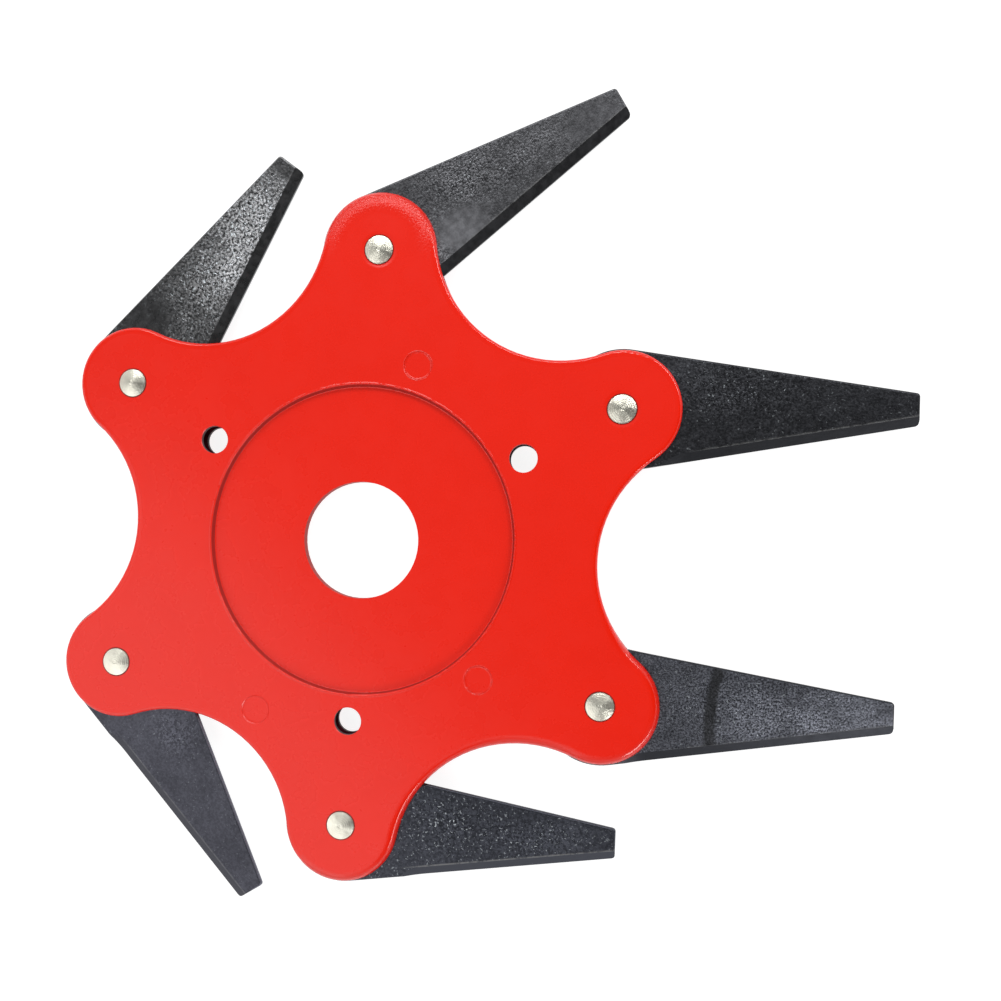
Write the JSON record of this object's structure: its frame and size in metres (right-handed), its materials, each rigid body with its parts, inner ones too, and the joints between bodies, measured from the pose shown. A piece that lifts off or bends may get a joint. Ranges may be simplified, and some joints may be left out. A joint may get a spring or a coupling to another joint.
{
  "type": "brush cutter blade",
  "caption": "Flat mowing head: two pressed, lobed steel discs riveted together, with tapered swinging blades pivoting between them at the lobes and a central arbor bore.",
  "frame": {"origin": "centre of the arbor bore, at the level where the two discs touch", "axes": "+Z along the bore, up out of the upper disc; +Y towards the lobe of blade_1, and the other lobes follow counter-clockwise"},
  "size_m": [0.1804, 0.1793, 0.0054],
  "materials": {
    "red_paint": "gloss red paint",
    "dark_blade_steel": "rough dark forged steel, thinly lacquered",
    "turned_steel": "bright, turned"
  },
  "bodies": {
    "head": {"upper_disc": "red_paint", "lower_disc": "red_paint", "spacer_stud_1": "red_paint", "spacer_stud_2": "red_paint", "spacer_stud_3": "red_paint", "pivot_pin_1": "turned_steel", "pivot_pin_2": "turned_steel", "pivot_pin_3": "turned_steel", "pivot_pin_4": "turned_steel", "pivot_pin_5": "turned_steel", "pivot_pin_6": "turned_steel"},
    "swinging_blade_1": {"blade_1": "dark_blade_steel"},
    "swinging_blade_2": {"blade_2": "dark_blade_steel"},
    "swinging_blade_3": {"blade_3": "dark_blade_steel"},
    "swinging_blade_4": {"blade_4": "dark_blade_steel"},
    "swinging_blade_5": {"blade_5": "dark_blade_steel"},
    "swinging_blade_6": {"blade_6": "dark_blade_steel"}
  },
  "joints": [
    {"name": "blade_1_swing", "type": "hinge", "parent": "head", "child": "swinging_blade_1", "pos_m": [0, 0.0624, 0], "axis": [0, 0, 1], "range_deg": [-47, 79]},
    {"name": "blade_2_swing", "type": "hinge", "parent": "head", "child": "swinging_blade_2", "pos_m": [-0.05404, 0.0312, 0], "axis": [0, 0, 1], "range_deg": [-10, 197]},
    {"name": "blade_3_swing", "type": "hinge", "parent": "head", "child": "swinging_blade_3", "pos_m": [-0.05404, -0.0312, 0], "axis": [0, 0, 1], "range_deg": [-198, 8.5]},
    {"name": "blade_4_swing", "type": "hinge", "parent": "head", "child": "swinging_blade_4", "pos_m": [0, -0.0624, 0], "axis": [0, 0, 1], "range_deg": [-112, 11.5]},
    {"name": "blade_5_swing", "type": "hinge", "parent": "head", "child": "swinging_blade_5", "pos_m": [0.05404, -0.0312, 0], "axis": [0, 0, 1], "range_deg": [-58, 58]},
    {"name": "blade_6_swing", "type": "hinge", "parent": "head", "child": "swinging_blade_6", "pos_m": [0.05404, 0.0312, 0], "axis": [0, 0, 1], "range_deg": [-60, 86]}
  ]
}
